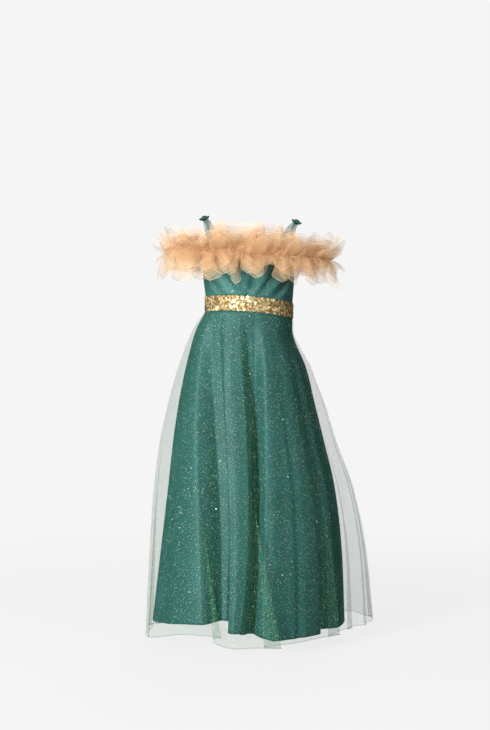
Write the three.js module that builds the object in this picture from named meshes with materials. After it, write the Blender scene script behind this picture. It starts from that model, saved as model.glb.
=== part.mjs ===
// A floor-length princess costume, worn and hollow, in millimetres with +Z up.
// A satin gown lies under a sheer tulle overskirt. A sequin waistband joins skirt and bodice, and a
// gathered tulle ruffle runs across the chest and round the outside of both arm openings.
// The front faces -Y, and +X is at the right of somebody who looks at the front.
// The origin lies midway between the knots on the two shoulder straps, where the costume is held.
// Angles run round the garment from 0 at centre front, through 90 at +X, to 180 at centre back.
import * as THREE from "three";

const { degToRad, lerp, smoothstep } = THREE.MathUtils;

// Thickness of each cloth, and the clear space between two pieces that are sewn together.
const SATIN = 1.2;
const TULLE = 1.0;
const SEQUIN_TAPE = 2.0;
const SEAM_GAP = 0.3;

// Heights of the main lines, each at four places round the garment.
const NECK_LINE = { front: -59, back: -77, left: -82, right: -96 };
const WAIST_LINE = { front: -183, back: -197, left: -189, right: -203 };
const SATIN_HEM = { front: -833, back: -838, left: -827, right: -830 };
const TULLE_HEM = { front: -844, back: -858, left: -859, right: -832 };
const WAISTBAND_HEIGHT = 30;

// Where a stretch of a hem rides higher: its ends, how wide each end fades, and the lift.
const SATIN_HEM_LIFTS = [
  { ends: [-52, -14.5], fades: [66, 4], lift: 29 },
  { ends: [-14, 11], fades: [3, 8], lift: 15 },
];
const TULLE_HEM_LIFTS = [{ ends: [-58, -13], fades: [50, 10], lift: 26 }];

// Half widths and half depths of the bodice, from the neck line (share 0) to the waistband (share 1).
const BODICE_SECTIONS = [
  { share: 0, left: 94, right: 92, front: 81, back: 74 },
  { share: 0.45, left: 93, right: 91, front: 83, back: 74 },
  { share: 1, left: 88, right: 88, front: 75, back: 70 },
];

// The same for the satin skirt, from the waist line (share 0) to its hem (share 1).
const SKIRT_SECTIONS = [
  { share: 0, left: 88, right: 88, front: 75, back: 70 },
  { share: 0.06, left: 108, right: 91, front: 84, back: 82 },
  { share: 0.16, left: 126, right: 117, front: 99, back: 100 },
  { share: 0.27, left: 141, right: 134, front: 113, back: 114 },
  { share: 0.4, left: 154, right: 154, front: 127, back: 127 },
  { share: 0.55, left: 165, right: 176, front: 143, back: 142 },
  { share: 0.75, left: 180, right: 191, front: 161, back: 160 },
  { share: 1, left: 199, right: 198, front: 182, back: 178 },
];

// How far the tulle overskirt stands out from the satin skirt at the same share of its length.
const OVERSKIRT_LIFT = [
  { share: 0, left: 1.5, right: 1.5, front: 1.5, back: 1.5 },
  { share: 0.06, left: 7, right: 2.5, front: 2.5, back: 4 },
  { share: 0.16, left: 15, right: 9, front: 4, back: 8 },
  { share: 0.27, left: 21, right: 16, front: 5, back: 12 },
  { share: 0.4, left: 27, right: 14, front: 6, back: 16 },
  { share: 0.55, left: 28, right: 18, front: 7, back: 20 },
  { share: 0.75, left: 20, right: 19, front: 9, back: 26 },
  { share: 1, left: 7, right: 15, front: 12, back: 34 },
];

// Folds of the satin, as troughs: the angles of both edges and the depth, each at the waist, the
// knee and the hem, and where the deepest line lies between the edges, from -1 to 1. Most run up
// slowly from a roll and end in a steep step.
const KNEE = 0.45;
const SATIN_FOLDS = [
  { left: [-60, -39, -24], right: [-31, -17.5, -12.5], depth: [0, 34, 42], deepest: 0.6 },
  { left: [-17, -3, -7], right: [20, 11.5, 7.5], depth: [0, 28, 34], deepest: 0.5 },
  { left: [40, 44, 45], right: [62, 63, 67], depth: [0, 6, 22], deepest: -0.2 },
  { left: [-92, -86, -78], right: [-68, -62, -54], depth: [0, 5, 8], deepest: 0.3 },
  { left: [12, 18, 18], right: [34, 30, 27], depth: [0, 3, 4], deepest: -0.4 },
  { left: [80, 84, 87], right: [102, 104, 107], depth: [0, 9, 18], deepest: -0.4 },
  { left: [115, 120, 124], right: [139, 142, 144], depth: [0, 15, 26], deepest: 0.4 },
  { left: [156, 159, 161], right: [178, 179, 179], depth: [0, 12, 22], deepest: -0.5 },
  { left: [-158, -159, -159], right: [-136, -138, -141], depth: [0, 16, 28], deepest: -0.3 },
  { left: [-120, -120, -122], right: [-98, -100, -102], depth: [0, 9, 18], deepest: 0.5 },
];

// Flutes of the overskirt, which stand outwards, in the same columns.
const TULLE_FLUTES = [
  { waist: -46, hem: -19, half: 5, depth: 15, from: 0.4 },
  { waist: -9, hem: 12, half: 6, depth: 18, from: 0.38 },
  { waist: 67, hem: 58, half: 7, depth: 16, from: 0.2 },
  { waist: 86, hem: 94, half: 28, depth: 46, from: 0.22 },
  { waist: 102, hem: 108, half: 8, depth: 14, from: 0.2 },
  { waist: 122, hem: 129, half: 8, depth: 22, from: 0.16 },
  { waist: 146, hem: 151, half: 8, depth: 18, from: 0.14 },
  { waist: 172, hem: 174, half: 8, depth: 22, from: 0.1 },
  { waist: -160, hem: -163, half: 8, depth: 20, from: 0.12 },
  { waist: -134, hem: -138, half: 9, depth: 22, from: 0.14 },
  { waist: -106, hem: -111, half: 9, depth: 18, from: 0.18 },
  { waist: -80, hem: -84, half: 8, depth: 5, from: 0.25 },
];

// Diagonal tucks of the bodice front, which run together in a V: the angle at the neck line and at
// the waistband, half the width in degrees, and the depth.
const BODICE_TUCKS = [
  { neck: -82, waist: -36, half: 8, depth: 2.4 },
  { neck: -59, waist: -22, half: 7, depth: 3.2 },
  { neck: -30, waist: -9, half: 6, depth: 2.2 },
  { neck: 21, waist: 5, half: 6, depth: 3.0 },
  { neck: 55, waist: 17, half: 7, depth: 2.6 },
  { neck: 86, waist: 29, half: 8, depth: 3.2 },
];

// The line that the ruffle is gathered along: its height, and its loop in plan, which lies on the
// bodice at front and back and passes outside the arm openings at both sides.
const GATHER_LINE = { front: -62, back: -80, left: -66, right: -88 };
const RUFFLE_SIDE = 159;
const GATHER_RIPPLE = 0.8;
const FRILL_WAVES = 26;
const COLUMNS_PER_WAVE = 5;
const FRILL_CLEAR = 1.6; // between the middles of the two strips, at the crests of their waves

// The two strips. Each edge has its reach from the gather line, how far it leans outwards, the swing
// of its waves, and how much further the outward waves reach. The outer strip lies on the waves of
// the inner one, and puffs out close to the gather line.
const UPRIGHT = { front: 0, back: 0, left: 0, right: 0 };
const INNER_STRIP = {
  upper: {
    reach: { front: 54, back: 48, left: 41, right: 55 },
    lean: { front: 15, back: 15, left: 4, right: 4 },
    puff: 0, swing: 9, petal: 4,
  },
  lower: {
    reach: { front: 44, back: 46, left: 50, right: 34 },
    lean: { front: 13, back: 13, left: 0, right: 0 },
    puff: 0, swing: 8, petal: 6,
  },
  turn: 0.3,
};
const OUTER_STRIP = {
  upper: {
    reach: { front: 30, back: 30, left: 27, right: 34 },
    lean: UPRIGHT, puff: 21, swing: 8, petal: 4,
  },
  lower: {
    reach: { front: 33, back: 36, left: 38, right: 26 },
    lean: UPRIGHT, puff: 18, swing: 7, petal: 6,
  },
  turn: 2.1,
};
const CURL = 0.28; // how far the waves fold over sideways, as a share of their swing

// Slow changes round the ruffle that make its waves uneven: cycles in the loop, amount and phase.
const WAVE_DRIFT = [
  { cycles: 5, amount: 0.55, phase: 0.7 },
  { cycles: 8, amount: 0.35, phase: 2.1 },
];
const SWING_DRIFT = [
  { cycles: 3, amount: 0.14, phase: 1.0 },
  { cycles: 7, amount: 0.12, phase: 2.4 },
];
const REACH_DRIFT = [
  { cycles: 4, amount: 0.05, phase: 0.4 },
  { cycles: 11, amount: 0.06, phase: 1.9 },
  { cycles: 19, amount: 0.05, phase: 3.3 },
];

// Straps: where each leaves the bodice, how high it lies on the shoulder, its widths and gathers.
const STRAPS = [
  { side: "left", front: -60, back: -130, top: -2, out: -91, inwards: 1 },
  { side: "right", front: 67, back: 130, top: -9.5, out: 97, inwards: -1 },
];
const STRAP_WIDTH = 20;
const STRAP_WIDTH_AT_KNOT = 10;
const SHOULDER_SLOPE = 20;
const STRAP_GATHERS = 3;
const STRAP_RIPPLE = 0.8;

// The knot on each strap: half its size each way, its wraps, and how deep the cloth dips between them.
const KNOT = { across: 6.5, along: 5.5, up: 4.2, wraps: 3, dip: 0.14 };

// The value at a place round the garment, from its four values at front, back, left and right.
function around(level, angle) {
  const mean = (level.front + level.back + level.left + level.right) / 4;
  const oval = (level.front + level.back - level.left - level.right) / 4;
  const ahead = (level.front - level.back) / 2;
  const across = (level.right - level.left) / 2;
  return mean + ahead * Math.cos(angle) + across * Math.sin(angle) + oval * Math.cos(2 * angle);
}

// One column of a table as a smooth curve through its rows, and straight on past its last row.
function columnAt(rows, column, share) {
  const last = rows.length - 1;
  let i = 0;
  while (i < last - 1 && share > rows[i + 1].share) i += 1;
  const slope = (a, b) => (rows[b][column] - rows[a][column]) / (rows[b].share - rows[a].share);
  if (share >= rows[last].share) {
    return rows[last][column] + slope(last - 1, last) * (share - rows[last].share);
  }
  const step = rows[i + 1].share - rows[i].share;
  const s = (share - rows[i].share) / step;
  const leaving = slope(Math.max(i - 1, 0), i + 1) * step;
  const arriving = slope(i, Math.min(i + 2, last)) * step;
  const [p, q] = [rows[i][column], rows[i + 1][column]];
  const square = s * s;
  const cube = square * s;
  return (
    p * (2 * cube - 3 * square + 1) + q * (3 * square - 2 * cube) +
    leaving * (cube - 2 * square + s) + arriving * (cube - square)
  );
}

function sectionAt(rows, share) {
  const section = {};
  for (const side of ["left", "right", "front", "back"]) {
    section[side] = columnAt(rows, side, share);
  }
  return section;
}

// A point of an oval section, moved outwards.
function sectionPoint(section, angle, outwards, height) {
  const across = Math.sin(angle);
  const ahead = Math.cos(angle);
  const halfWidth = (across > 0 ? section.right : section.left) + outwards;
  const halfDepth = (ahead > 0 ? section.front : section.back) + outwards;
  return new THREE.Vector3(halfWidth * across, -halfDepth * ahead, height);
}

// How far an angle lies from a line, signed, as a share of half a width in degrees.
function awayFrom(line, half, angle) {
  const turn = angle - degToRad(line);
  return Math.atan2(Math.sin(turn), Math.cos(turn)) / degToRad(half);
}

// A smooth bump from -1 to 1, whose top can lie off its middle.
function bump(away, top = 0) {
  if (Math.abs(away) >= 1) return 0;
  const side = away > top ? 1 : -1;
  return Math.cos((((away - top) / (1 - side * top)) * Math.PI) / 2) ** 2;
}

// The height of a hem at one angle, with its lifted stretches.
function hemHeight(hem, lifts, angle) {
  let height = around(hem, angle);
  const turned = (Math.atan2(Math.sin(angle), Math.cos(angle)) * 180) / Math.PI;
  for (const { ends, fades, lift } of lifts) {
    const rise = smoothstep(turned, ends[0] - fades[0] / 2, ends[0] + fades[0] / 2);
    const fall = 1 - smoothstep(turned, ends[1] - fades[1] / 2, ends[1] + fades[1] / 2);
    height += lift * rise * fall;
  }
  return height;
}

// A value at a share, on the curve through its values at the waist, the knee and the hem.
function runAt([waist, knee, hem], share) {
  const atWaist = ((share - KNEE) * (share - 1)) / KNEE;
  const atKnee = (share * (share - 1)) / (KNEE * (KNEE - 1));
  const atHem = (share * (share - KNEE)) / (1 - KNEE);
  return waist * atWaist + knee * atKnee + hem * atHem;
}

function satinFoldDepth(angle, share) {
  let depth = 0;
  for (const fold of SATIN_FOLDS) {
    const left = runAt(fold.left, share);
    const right = runAt(fold.right, share);
    const away = awayFrom((left + right) / 2, (right - left) / 2, angle);
    depth += runAt(fold.depth, share) * bump(away, fold.deepest);
  }
  return depth;
}

// The summed height of the overskirt's flutes: each grows from where it starts down to the hem.
function fluteHeight(angle, share) {
  let height = 0;
  for (const flute of TULLE_FLUTES) {
    if (share <= flute.from) continue;
    const away = awayFrom(lerp(flute.waist, flute.hem, share), flute.half, angle);
    height += flute.depth * ((share - flute.from) / (1 - flute.from)) * bump(away);
  }
  return height;
}

function bodicePoint(angle, share) {
  let tuck = 0;
  for (const fold of BODICE_TUCKS) {
    tuck += fold.depth * bump(awayFrom(lerp(fold.neck, fold.waist, share), fold.half, angle));
  }
  const faded = tuck * smoothstep(share, 0, 0.3) * lerp(1, 0.4, smoothstep(share, 0.8, 1));
  const bottom = around(WAIST_LINE, angle) + WAISTBAND_HEIGHT + SEAM_GAP;
  const height = lerp(around(NECK_LINE, angle), bottom, share);
  return sectionPoint(sectionAt(BODICE_SECTIONS, share), angle, -faded, height);
}

function waistbandPoint(angle, share) {
  const height = around(WAIST_LINE, angle) + WAISTBAND_HEIGHT * (1 - share);
  return sectionPoint(SKIRT_SECTIONS[0], angle, (SEQUIN_TAPE - SATIN) / 2, height);
}

function satinPoint(angle, share) {
  const waist = around(WAIST_LINE, angle) - SEAM_GAP;
  const height = lerp(waist, hemHeight(SATIN_HEM, SATIN_HEM_LIFTS, angle), share);
  const section = sectionAt(SKIRT_SECTIONS, share);
  return sectionPoint(section, angle, -satinFoldDepth(angle, share), height);
}

// The overskirt is the satin skirt's smooth form, moved out, with flutes of its own.
function tullePoint(angle, share) {
  const waist = around(WAIST_LINE, angle) - SEAM_GAP;
  const height = lerp(waist, hemHeight(TULLE_HEM, TULLE_HEM_LIFTS, angle), share);
  const satinShare = (waist - height) / (waist - around(SATIN_HEM, angle));
  const section = sectionAt(SKIRT_SECTIONS, satinShare);
  const lift = sectionAt(OVERSKIRT_LIFT, share);
  for (const side of Object.keys(section)) section[side] += lift[side];
  return sectionPoint(section, angle, fluteHeight(angle, share), height);
}

// The ruffle's loop in plan. Its inner strip just clears the bodice at front and back.
const LOOP_OFF_BODICE = SATIN / 2 + SEAM_GAP + TULLE / 2 + GATHER_RIPPLE + 0.1;
const RUFFLE_LOOP = {
  left: RUFFLE_SIDE,
  right: RUFFLE_SIDE,
  front: BODICE_SECTIONS[0].front + LOOP_OFF_BODICE,
  back: BODICE_SECTIONS[0].back + LOOP_OFF_BODICE,
};

// Angles that part the loop into stretches of equal length, so that the waves are even.
const LOOP_STEPS = 720;
const loopLengths = [0];
for (let i = 1; i <= LOOP_STEPS; i += 1) {
  const a = sectionPoint(RUFFLE_LOOP, ((i - 1) / LOOP_STEPS) * 2 * Math.PI, 0, 0);
  const b = sectionPoint(RUFFLE_LOOP, (i / LOOP_STEPS) * 2 * Math.PI, 0, 0);
  loopLengths.push(loopLengths[i - 1] + a.distanceTo(b));
}

function loopAngle(way) {
  const whole = Math.floor(way);
  const length = (way - whole) * loopLengths[LOOP_STEPS];
  let i = 1;
  while (i < LOOP_STEPS && loopLengths[i] < length) i += 1;
  const part = (length - loopLengths[i - 1]) / (loopLengths[i] - loopLengths[i - 1]);
  return (whole + (i - 1 + part) / LOOP_STEPS) * 2 * Math.PI;
}

function drift(rows, way, turn) {
  let sum = 0;
  for (const row of rows) sum += row.amount * Math.sin(2 * Math.PI * row.cycles * way + row.phase + turn);
  return sum;
}

// One edge of a strip at a height of its own: how far it lies out from the loop, without its wave,
// and how far its wave swings there.
function edgeAt(edge, way, fromLine, turn) {
  const swing = GATHER_RIPPLE + edge.swing * (1 + drift(SWING_DRIFT, way, turn)) * fromLine;
  return { out: around(edge.lean, loopAngle(way)) * fromLine, swing };
}

// A point of a strip. Way runs once round the loop, and share from the upper edge (0) over the
// gather line (0.5) to the lower edge (1).
function stripPoint(strip, way, share, beneath) {
  const upwards = share < 0.5;
  const edge = upwards ? strip.upper : strip.lower;
  const fromLine = Math.abs(1 - 2 * share);
  const angle = loopAngle(way);
  const phase = 2 * Math.PI * FRILL_WAVES * way + drift(WAVE_DRIFT, way, strip.turn) + strip.turn;
  const wave = Math.sin(phase);
  const uneven = 1 + drift(REACH_DRIFT, way, strip.turn);
  const reach = (around(edge.reach, angle) * uneven + edge.petal * wave * fromLine) * fromLine;
  let { out, swing } = edgeAt(edge, way, fromLine, strip.turn);
  if (beneath) {
    const under = upwards ? beneath.upper : beneath.lower;
    const underShare = Math.min(reach / around(under.reach, angle), 1);
    const cover = edgeAt(under, way, underShare, beneath.turn);
    const puff = edge.puff * (1 - (1 - fromLine) ** 6);
    out = Math.max(cover.out + cover.swing + swing + FRILL_CLEAR, puff);
  }
  const curl = -CURL * edge.swing * fromLine * Math.sin(2 * phase);
  const height = around(GATHER_LINE, angle) + (upwards ? reach : -reach);
  const halfWidth = RUFFLE_SIDE;
  const halfDepth = Math.cos(angle) > 0 ? RUFFLE_LOOP.front : RUFFLE_LOOP.back;
  const along = new THREE.Vector3(halfWidth * Math.cos(angle), halfDepth * Math.sin(angle), 0).normalize();
  const outwards = new THREE.Vector3(along.y, -along.x, 0);
  return sectionPoint(RUFFLE_LOOP, angle, 0, height)
    .addScaledVector(outwards, out + swing * wave)
    .addScaledVector(along, curl);
}

// A point of a strap: share runs from its front foot over the shoulder (0.5) to its back foot, and
// across from -1 to 1 over its width. Its feet follow the neck line of the bodice.
function strapPoint(strap, across, share) {
  const foot = share < 0.5 ? strap.front : strap.back;
  const turn = Math.PI * Math.min(share, 1 - share);
  const spread = (STRAP_WIDTH / 2 / BODICE_SECTIONS[0].front) * strap.inwards * (share < 0.5 ? 1 : -1);
  const start = bodicePoint(degToRad(foot) + across * spread, 0);
  const slope = degToRad(SHOULDER_SLOPE);
  const reach = (across * STRAP_WIDTH_AT_KNOT) / 2;
  const topX = strap.out + reach * Math.cos(slope) * strap.inwards;
  const topZ = strap.top + reach * Math.sin(slope);
  const ripple = STRAP_RIPPLE * Math.sin(turn) * Math.cos(Math.PI * STRAP_GATHERS * across);
  const height = lerp(start.z + SEAM_GAP, topZ, Math.sin(turn));
  const y = start.y * Math.cos(turn);
  const middle = new THREE.Vector3(lerp(topX, start.x, Math.cos(turn)), y, height);
  const away = new THREE.Vector3(0, Math.sign(start.y) * Math.cos(turn), Math.sin(turn));
  return middle.addScaledVector(away, ripple);
}

// The outward normal of a surface, from its neighbouring points.
const NUDGE = 1e-4;
function normalAt(surface, across, down) {
  const over = surface(across + NUDGE, down).sub(surface(across - NUDGE, down));
  const below = surface(across, down + NUDGE).sub(surface(across, down - NUDGE));
  return below.cross(over).normalize();
}

// A cloth wall of even thickness about a surface. The surface is read at each row of shares, at
// evenly spaced columns from one edge to the other. A closed wall joins its last column to its first.
function clothWall(surface, { thickness, edges, columns, rows, closed = false }) {
  const positions = [];
  const faces = [];
  const across = closed ? columns : columns + 1;
  const down = rows.length;
  for (const side of [0.5, -0.5]) {
    for (const share of rows) {
      const [from, to] = edges(share);
      for (let i = 0; i < across; i += 1) {
        const place = lerp(from, to, i / columns);
        const point = surface(place, share);
        point.addScaledVector(normalAt(surface, place, share), side * thickness);
        positions.push(point.x, point.y, point.z);
      }
    }
  }
  const outer = (i, j) => j * across + (i % across);
  const inner = (i, j) => (down + j) * across + (i % across);
  const quad = (a, b, c, d) => faces.push(a, b, c, a, c, d);
  for (let i = 0; i < columns; i += 1) {
    for (let j = 0; j < down - 1; j += 1) {
      quad(outer(i, j), outer(i, j + 1), outer(i + 1, j + 1), outer(i + 1, j));
      quad(inner(i, j), inner(i + 1, j), inner(i + 1, j + 1), inner(i, j + 1));
    }
    quad(outer(i, 0), outer(i + 1, 0), inner(i + 1, 0), inner(i, 0));
    const hem = down - 1;
    quad(outer(i, hem), inner(i, hem), inner(i + 1, hem), outer(i + 1, hem));
  }
  for (let j = 0; j < down - 1 && !closed; j += 1) {
    quad(inner(0, j), inner(0, j + 1), outer(0, j + 1), outer(0, j));
    quad(outer(columns, j), outer(columns, j + 1), inner(columns, j + 1), inner(columns, j));
  }
  const geometry = new THREE.BufferGeometry();
  geometry.setAttribute("position", new THREE.Float32BufferAttribute(positions, 3));
  geometry.setIndex(faces);
  return geometry;
}

const MATERIALS = {
  satin: new THREE.MeshStandardMaterial({ color: 0x2f6f66, roughness: 0.38 }),
  tulle: new THREE.MeshStandardMaterial({ color: 0x9db9a3, roughness: 0.7 }),
  sequins: new THREE.MeshStandardMaterial({ color: 0xc9a050, roughness: 0.25, metalness: 0.9 }),
  tanTulle: new THREE.MeshStandardMaterial({ color: 0xe8b98a, roughness: 0.75 }),
  strapTulle: new THREE.MeshStandardMaterial({ color: 0x5f8f80, roughness: 0.6 }),
  strapSatin: new THREE.MeshStandardMaterial({ color: 0x1e3b38, roughness: 0.45 }),
};

const costume = new THREE.Group();

function addPiece(name, geometry, material) {
  const mesh = new THREE.Mesh(geometry, MATERIALS[material].clone());
  mesh.name = name;
  costume.add(mesh);
  return mesh;
}

// Panels of a body piece between two seams, given in degrees. Each stops half a gap short of its seam.
function addPanels(panels, { surface, sections, thickness, rows, material, columnsRound }) {
  for (const { name, from, to } of panels) {
    const edges = (share) => {
      const section = sectionAt(sections, share);
      const short = SEAM_GAP / 2 / Math.min(section.front, section.back);
      return [degToRad(from) + short, degToRad(to) - short];
    };
    const columns = Math.round((columnsRound * (to - from)) / 360);
    addPiece(name, clothWall(surface, { thickness, edges, columns, rows }), material);
  }
}

const bodice = {
  surface: bodicePoint,
  sections: BODICE_SECTIONS,
  thickness: SATIN,
  material: "satin",
};
addPanels([{ name: "bodice_front", from: -90, to: 90 }], {
  ...bodice,
  rows: [0, 0.2, 0.4, 0.6, 0.8, 1],
  columnsRound: 84,
});
addPanels(
  [
    { name: "bodice_back_right", from: 90, to: 180 },
    { name: "bodice_back_left", from: 180, to: 270 },
  ],
  { ...bodice, rows: [0, 0.45, 1], columnsRound: 48 },
);
addPanels([{ name: "waistband", from: -180, to: 180 }], {
  surface: waistbandPoint,
  sections: SKIRT_SECTIONS,
  thickness: SEQUIN_TAPE,
  rows: [0, 1],
  material: "sequins",
  columnsRound: 56,
});
addPanels(
  [
    { name: "skirt_front", from: -90, to: 90 },
    { name: "skirt_back", from: 90, to: 270 },
  ],
  {
    surface: satinPoint,
    sections: SKIRT_SECTIONS,
    thickness: SATIN,
    rows: [0, 0.05, 0.14, 0.26, 0.41, 0.58, 0.78, 1],
    material: "satin",
    columnsRound: 128,
  },
);
addPanels(
  [
    { name: "overskirt_front", from: -90, to: 90 },
    { name: "overskirt_back", from: 90, to: 270 },
  ],
  {
    surface: tullePoint,
    sections: SKIRT_SECTIONS,
    thickness: TULLE,
    rows: [0, 0.05, 0.14, 0.26, 0.41, 0.58, 0.78, 1],
    material: "tulle",
    columnsRound: 104,
  },
);

const wholeLoop = {
  thickness: TULLE,
  edges: () => [0, 1],
  columns: FRILL_WAVES * COLUMNS_PER_WAVE,
  closed: true,
};
const innerRuffle = (way, share) => stripPoint(INNER_STRIP, way, share);
const outerRuffle = (way, share) => stripPoint(OUTER_STRIP, way, share, INNER_STRIP);
const innerRows = [0, 0.17, 0.34, 0.5, 0.66, 0.83, 1];
const outerRows = [0, 0.25, 0.42, 0.5, 0.58, 0.75, 1];
addPiece("ruffle_inner", clothWall(innerRuffle, { ...wholeLoop, rows: innerRows }), "tanTulle");
addPiece("ruffle_outer", clothWall(outerRuffle, { ...wholeLoop, rows: outerRows }), "tanTulle");

// A knot is a squashed ball whose wraps stand up as rounded rings round the strap.
function knotGeometry() {
  const geometry = new THREE.SphereGeometry(1, 12, 8);
  const position = geometry.getAttribute("position");
  const point = new THREE.Vector3();
  for (let i = 0; i < position.count; i += 1) {
    point.fromBufferAttribute(position, i);
    const wrap = 1 - KNOT.dip * Math.sin(Math.PI * KNOT.wraps * point.x) ** 2;
    point.set(point.x * KNOT.across, point.y * KNOT.along * wrap, point.z * KNOT.up * wrap);
    position.setXYZ(i, point.x, point.y, point.z);
  }
  return geometry;
}

for (const strap of STRAPS) {
  const surface = (across, share) => strapPoint(strap, across, share);
  const wall = clothWall(surface, {
    thickness: TULLE,
    edges: () => [-1, 1],
    columns: 8,
    rows: [0, 0.12, 0.24, 0.36, 0.5, 0.64, 0.76, 0.88, 1],
  });
  addPiece(`strap_${strap.side}`, wall, "strapTulle");
  const knot = addPiece(`strap_knot_${strap.side}`, knotGeometry(), "strapSatin");
  const above = TULLE / 2 + STRAP_RIPPLE + SEAM_GAP + KNOT.up;
  knot.position.set(strap.out, 0, strap.top + above);
  knot.rotation.y = degToRad(-SHOULDER_SLOPE) * strap.inwards;
}

export default costume;
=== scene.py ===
# A floor-length princess costume, worn and hollow: a teal satin gown under a sheer glitter overskirt,
# with a sequin waistband, tied tulle straps and a gathered ruffle of tan tulle across the chest.
# Tables are in millimetres and degrees. Angles run round the garment from 0 at centre front,
# through 90 at +X, to 180 at centre back, and shares run from the top of a piece to its bottom.
import math

import bmesh
import bpy
from mathutils import Euler, Matrix, Vector, noise


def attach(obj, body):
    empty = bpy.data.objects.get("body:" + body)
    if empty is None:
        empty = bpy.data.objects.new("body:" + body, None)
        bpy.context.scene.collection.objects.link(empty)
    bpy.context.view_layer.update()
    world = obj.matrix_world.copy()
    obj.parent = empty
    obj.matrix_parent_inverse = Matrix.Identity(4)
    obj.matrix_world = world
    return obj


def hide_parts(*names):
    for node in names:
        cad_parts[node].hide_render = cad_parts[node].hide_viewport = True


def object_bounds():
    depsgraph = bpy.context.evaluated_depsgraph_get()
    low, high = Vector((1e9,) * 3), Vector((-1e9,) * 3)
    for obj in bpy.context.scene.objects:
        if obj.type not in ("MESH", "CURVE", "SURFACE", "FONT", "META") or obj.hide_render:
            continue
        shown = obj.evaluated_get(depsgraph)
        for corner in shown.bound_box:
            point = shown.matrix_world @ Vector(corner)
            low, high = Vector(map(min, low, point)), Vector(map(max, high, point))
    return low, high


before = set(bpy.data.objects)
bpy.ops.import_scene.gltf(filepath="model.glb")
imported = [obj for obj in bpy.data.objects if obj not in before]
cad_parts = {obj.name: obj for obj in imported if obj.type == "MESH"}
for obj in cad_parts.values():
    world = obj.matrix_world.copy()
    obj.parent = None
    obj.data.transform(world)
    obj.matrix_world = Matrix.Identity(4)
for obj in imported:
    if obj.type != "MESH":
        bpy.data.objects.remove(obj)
CAD_BOX = [list(corner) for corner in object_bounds()]

MM = 0.001

# The camera stands 4 m away, a little above the shoulders, and looks slightly down.
CAMERA_PLACE = (-0.0082, -4.0, 0.100)
CAMERA_TILT = 5.7
CAMERA_LENS = 96.7
FLOOR_BELOW_HEM = 0.002


def add_camera():
    data = bpy.data.cameras.new("camera")
    data.lens = CAMERA_LENS
    camera = bpy.data.objects.new("camera", data)
    camera.location = CAMERA_PLACE
    camera.rotation_euler = Euler((math.radians(90 - CAMERA_TILT), 0, 0))
    bpy.context.scene.collection.objects.link(camera)
    bpy.context.scene.camera = camera


add_camera()


def linear(code):
    """An sRGB hex colour as linear RGBA."""
    parts = [int(code[i : i + 2], 16) / 255 for i in (1, 3, 5)]
    curve = [c / 12.92 if c <= 0.04045 else ((c + 0.055) / 1.055) ** 2.4 for c in parts]
    return (*curve, 1.0)


def lerp(a, b, t):
    return a + (b - a) * t


def smoothstep(x, low, high):
    t = min(max((x - low) / (high - low), 0.0), 1.0)
    return t * t * (3 - 2 * t)


def sides(front, back, left, right):
    return {"front": front, "back": back, "left": left, "right": right}


# The garment's main lines and sections. The solids have the same, with a plainer satin hem.
SATIN = 1.2
TULLE = 1.0
SEQUIN_TAPE = 2.0
SEAM_GAP = 0.3
WAISTBAND_HEIGHT = 30

NECK_LINE = sides(front=-59, back=-77, left=-82, right=-96)
WAIST_LINE = sides(front=-183, back=-197, left=-189, right=-203)
SATIN_HEM = sides(front=-833, back=-838, left=-827, right=-830)
TULLE_HEM = sides(front=-844, back=-858, left=-859, right=-832)

# Where a stretch of a hem rides higher: its ends, how far each end fades, and the lift.
SATIN_HEM_LIFTS = [
    {"ends": (-52, -14.5), "fades": (66, 4), "lift": 29},
    {"ends": (-14, -4), "fades": (3, 5), "lift": 15},
    {"ends": (-4, 11), "fades": (5, 8), "lift": 6},
]
TULLE_HEM_LIFTS = [{"ends": (-58, -13), "fades": (50, 10), "lift": 26}]

BODICE_SECTIONS = [
    {"share": 0, "left": 94, "right": 92, "front": 81, "back": 74},
    {"share": 0.45, "left": 93, "right": 91, "front": 83, "back": 74},
    {"share": 1, "left": 88, "right": 88, "front": 75, "back": 70},
]
SKIRT_SECTIONS = [
    {"share": 0, "left": 88, "right": 88, "front": 75, "back": 70},
    {"share": 0.06, "left": 108, "right": 91, "front": 84, "back": 82},
    {"share": 0.16, "left": 126, "right": 117, "front": 99, "back": 100},
    {"share": 0.27, "left": 141, "right": 134, "front": 113, "back": 114},
    {"share": 0.4, "left": 154, "right": 154, "front": 127, "back": 127},
    {"share": 0.55, "left": 165, "right": 176, "front": 143, "back": 142},
    {"share": 0.75, "left": 180, "right": 191, "front": 161, "back": 160},
    {"share": 1, "left": 199, "right": 198, "front": 182, "back": 178},
]
OVERSKIRT_LIFT = [
    {"share": 0, "left": 1.5, "right": 1.5, "front": 1.5, "back": 1.5},
    {"share": 0.06, "left": 7, "right": 2.5, "front": 2.5, "back": 4},
    {"share": 0.16, "left": 15, "right": 9, "front": 4, "back": 8},
    {"share": 0.27, "left": 21, "right": 16, "front": 5, "back": 12},
    {"share": 0.4, "left": 27, "right": 14, "front": 6, "back": 16},
    {"share": 0.55, "left": 28, "right": 18, "front": 7, "back": 20},
    {"share": 0.75, "left": 20, "right": 19, "front": 9, "back": 26},
    {"share": 1, "left": 7, "right": 15, "front": 12, "back": 34},
]

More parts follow.
